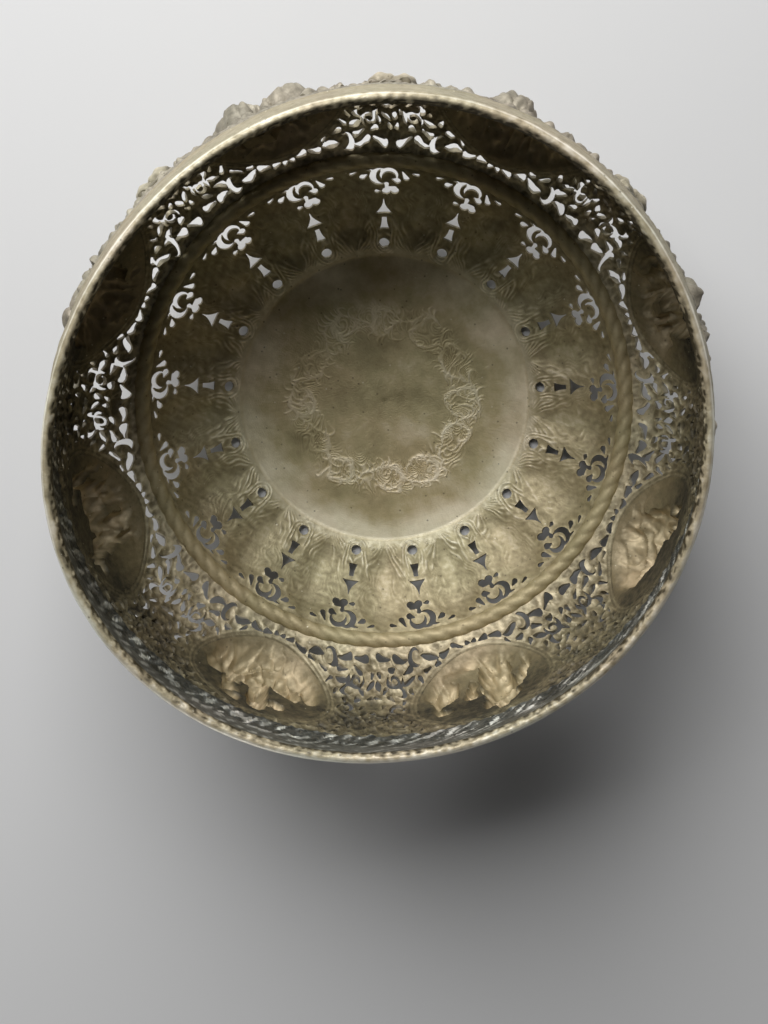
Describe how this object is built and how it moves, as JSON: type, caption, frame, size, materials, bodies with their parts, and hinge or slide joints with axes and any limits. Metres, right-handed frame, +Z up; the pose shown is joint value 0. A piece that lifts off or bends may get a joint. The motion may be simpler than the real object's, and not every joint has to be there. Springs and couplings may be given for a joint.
{
  "type": "silver bowl",
  "caption": "Round open bowl with a flat base, a pierced leaf calyx, a rope band, figured oval medallions between pierced scrollwork, a neck in a plain collar and a half-round rim wire.",
  "frame": {"origin": "centre of the flat underside of the base", "axes": "+Z up out of the mouth, +Y through one motif line of the calyx, +X by the right-hand rule"},
  "size_m": [0.2592, 0.2604, 0.1309],
  "materials": {
    "base_silver": "tarnished silver, smooth, with a chased wreath",
    "calyx_silver": "tarnished silver, chased leaves",
    "rope_silver": "tarnished silver, rubbed on the strands",
    "frieze_silver": "dark tarnished silver, pierced and chased",
    "neck_silver": "dark tarnished silver, a chased border below and plain above",
    "collar_silver": "dull grey silver, plain",
    "rim_silver": "bright rubbed silver wire with solder at its edge",
    "medallion_silver": "tarnished silver, hammered figures, warmer in the hollows",
    "boss_silver": "dull grey silver, chased leaf"
  },
  "bodies": {
    "root": {"base_plate": "base_silver", "calyx": "calyx_silver", "rope_band": "rope_silver", "frieze": "frieze_silver", "neck": "neck_silver", "collar_band": "collar_silver", "rim_wire": "rim_silver", "medallion_1": "medallion_silver", "medallion_2": "medallion_silver", "medallion_3": "medallion_silver", "medallion_4": "medallion_silver", "medallion_5": "medallion_silver", "medallion_6": "medallion_silver", "medallion_7": "medallion_silver", "medallion_8": "medallion_silver", "boss_1": "boss_silver", "boss_2": "boss_silver", "boss_3": "boss_silver", "boss_4": "boss_silver", "boss_5": "boss_silver", "boss_6": "boss_silver", "boss_7": "boss_silver", "boss_8": "boss_silver"}
  },
  "joints": []
}
